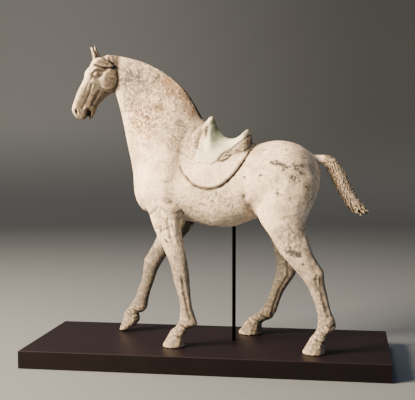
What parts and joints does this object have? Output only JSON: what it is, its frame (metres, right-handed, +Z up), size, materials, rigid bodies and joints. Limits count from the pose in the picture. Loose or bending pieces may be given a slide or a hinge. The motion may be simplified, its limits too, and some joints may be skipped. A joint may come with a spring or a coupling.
{
  "type": "walking saddled horse figure on a plinth",
  "caption": "Pale earthenware horse walking with one forefoot tipped up, saddled, with an arched neck and plaited tail, on a dark wooden plinth with a steel support rod.",
  "frame": {"origin": "centre of the plinth's underside", "axes": "+X along the plinth from the horse's head end to its tail end, +Y to the horse's off (right) side, +Z up"},
  "size_m": [0.78, 0.324, 0.6989],
  "materials": {
    "earthenware": "matt, unglazed, with worn slip and traces of pigment",
    "plinth_wood": "satin, dark brown stain",
    "rod_steel": "black, satin"
  },
  "bodies": {
    "root": {"horse": "earthenware", "plinth": "plinth_wood", "support_rod": "rod_steel"}
  },
  "joints": []
}
